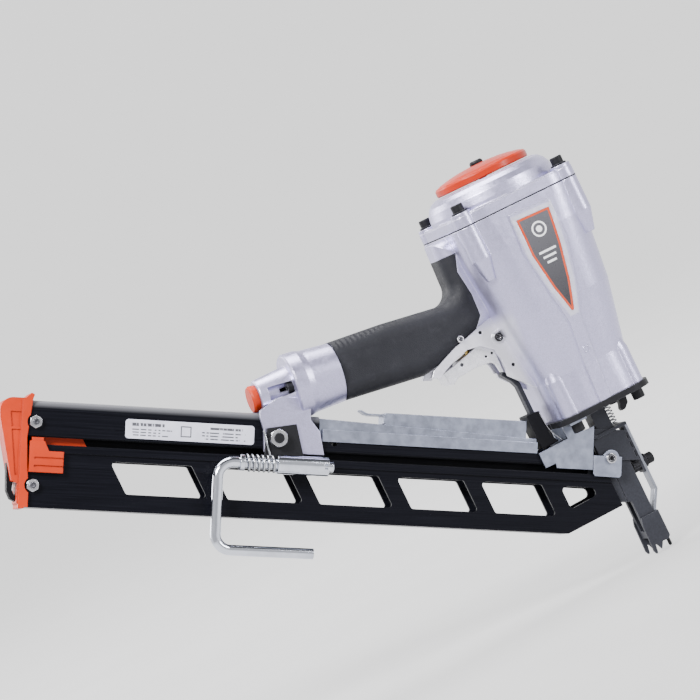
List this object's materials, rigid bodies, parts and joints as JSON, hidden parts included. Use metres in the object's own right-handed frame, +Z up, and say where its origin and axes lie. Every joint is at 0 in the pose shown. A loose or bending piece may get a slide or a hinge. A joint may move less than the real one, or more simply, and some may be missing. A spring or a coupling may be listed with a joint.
{
  "type": "pneumatic framing nailer",
  "caption": "Pneumatic framing nailer with silver body, rubber grip, angled strip magazine, work contact, depth knob, exhaust deflector and swinging rafter hook.",
  "frame": {"origin": "centre of the nail exit's mouth, at the lower end of the drive guide on the drive axis", "axes": "+Z up the drive axis to the cylinder cap, +X forward away from the handle and magazine, -Y toward the side with the rafter hook and badge"},
  "size_m": [0.5117, 0.1114, 0.3493],
  "materials": {
    "housing_paint": "satin silver paint, fine speckle",
    "cap_paint": "satin silver paint, fine speckle",
    "end_cap_paint": "satin silver paint, fine speckle",
    "badge_print": "printed badge",
    "grip_rubber": "moulded rubber",
    "trigger_metal": "satin light grey",
    "orange_gloss": "glossy moulded orange",
    "orange_matte": "satin moulded orange",
    "black_plastic": "moulded black",
    "follower_plastic": "satin moulded orange",
    "magazine_finish": "satin black anodised",
    "zinc_plate": "bluish zinc plate",
    "strap_steel": "bare steel",
    "black_steel": "black oxide",
    "nose_steel": "black oxide casting",
    "bright_steel": "bright plated",
    "chrome_hook": "polished chrome",
    "spring_steel": "spring wire",
    "inner_aluminium": "machined",
    "seal_rubber": "black rubber",
    "bumper_rubber": "urethane",
    "gasket_paper": "gasket sheet",
    "brass_valve": "machined brass",
    "label_print": "printed label"
  },
  "bodies": {
    "housing": {"housing": "housing_paint", "name_badge": "badge_print", "grip_sleeve": "grip_rubber", "cylinder_cap": "cap_paint", "cap_gasket": "gasket_paper", "cap_screws": "black_steel", "cap_washers": "black_steel", "deflector_screw": "black_steel", "cylinder_sleeve": "inner_aluminium", "sleeve_seals": "seal_rubber", "bumper": "bumper_rubber", "head_valve_spring": "spring_steel", "trigger_pin": "bright_steel", "trigger_valve_body": "brass_valve", "trigger_valve_spring": "spring_steel", "valve_pin": "bright_steel", "end_cap": "end_cap_paint", "end_cap_gasket": "gasket_paper", "end_cap_screws": "black_steel", "inlet_plug": "orange_matte", "nose_plate": "black_steel", "nose_bolts": "black_steel", "drive_guide": "nose_steel", "nose_cover": "nose_steel", "nose_brackets": "zinc_plate", "nose_clips": "zinc_plate", "clip_screws": "bright_steel", "arm_guide": "black_plastic", "contact_spring": "spring_steel", "magazine_body": "magazine_finish", "top_channel": "zinc_plate", "spring_cover": "zinc_plate", "follower_spring": "spring_steel", "magazine_studs": "black_steel", "magazine_nuts": "bright_steel", "magazine_end_cap": "orange_matte", "end_cap_bolts": "bright_steel", "end_bolt_nuts": "bright_steel", "rear_guard": "black_plastic", "hook_bracket": "black_steel", "hook_sleeve": "chrome_hook", "hook_spring": "spring_steel", "rating_label": "label_print"},
    "deflector": {"exhaust_deflector": "orange_gloss"},
    "driver": {"piston": "inner_aluminium", "piston_ring": "seal_rubber", "driver_blade": "bright_steel"},
    "head_valve": {"head_valve": "inner_aluminium"},
    "trigger": {"trigger": "trigger_metal", "lever_pin": "bright_steel"},
    "trigger_lever": {"trigger_lever": "bright_steel"},
    "valve_stem": {"trigger_valve_stem": "brass_valve"},
    "contact": {"contact_yoke": "nose_steel"},
    "contact_foot": {"contact_strap": "strap_steel", "contact_claw": "nose_steel", "contact_prong": "black_steel"},
    "depth_knob": {"depth_knob": "black_steel"},
    "follower": {"follower": "follower_plastic"},
    "hook": {"hook_rod": "chrome_hook", "hook_collar": "chrome_hook"}
  },
  "joints": [
    {"name": "deflector_turn", "type": "hinge", "parent": "housing", "child": "deflector", "pos_m": [0, 0, 0.323], "axis": [0, 0, 1], "continuous": true},
    {"name": "driver_stroke", "type": "slide", "parent": "housing", "child": "driver", "axis": [0, 0, -1], "range_m": [0, 0.1]},
    {"name": "head_valve_lift", "type": "slide", "parent": "housing", "child": "head_valve", "axis": [0, 0, 1], "range_m": [0, 0.005], "stiffness_N_per_m": 3000, "springref_m": -0.01, "deforming": ["head_valve_spring"]},
    {"name": "trigger_pull", "type": "hinge", "parent": "housing", "child": "trigger", "pos_m": [-0.0518, 0, 0.1999], "axis": [0, 1, 0], "range_deg": [0, 6], "stiffness_Nm_per_rad": 1.5, "springref_deg": -17.19},
    {"name": "lever_tilt", "type": "hinge", "parent": "trigger", "child": "trigger_lever", "pos_m": [-0.0877, 0, 0.1928], "axis": [0, 1, 0], "range_deg": [-2.5, 2]},
    {"name": "valve_stem_lift", "type": "slide", "parent": "housing", "child": "valve_stem", "axis": [0, 0, 1], "range_m": [0, 0.003], "deforming": ["trigger_valve_spring"]},
    {"name": "contact_slide", "type": "slide", "parent": "housing", "child": "contact", "axis": [0, 0, 1], "range_m": [0, 0.012], "stiffness_N_per_m": 900, "springref_m": -0.02, "deforming": ["contact_spring"]},
    {"name": "depth_slide", "type": "slide", "parent": "contact", "child": "contact_foot", "axis": [0, 0, 1], "range_m": [0, 0.006]},
    {"name": "depth_knob_turn", "type": "hinge", "parent": "contact", "child": "depth_knob", "pos_m": [0.017, 0, 0.057], "axis": [1, 0, 0], "continuous": true},
    {"name": "follower_slide", "type": "slide", "parent": "housing", "child": "follower", "axis": [0.8746, 0, -0.4848], "range_m": [0, 0.42]},
    {"name": "hook_swing", "type": "hinge", "parent": "housing", "child": "hook", "pos_m": [-0.24372, -0.0245, 0.17912], "axis": [-0.8746, 0, 0.4848], "range_deg": [0, 120]}
  ],
  "couplings": [
    {"joint": "valve_stem_lift", "follows": "trigger_pull", "m_per_rad": 0.026}
  ]
}
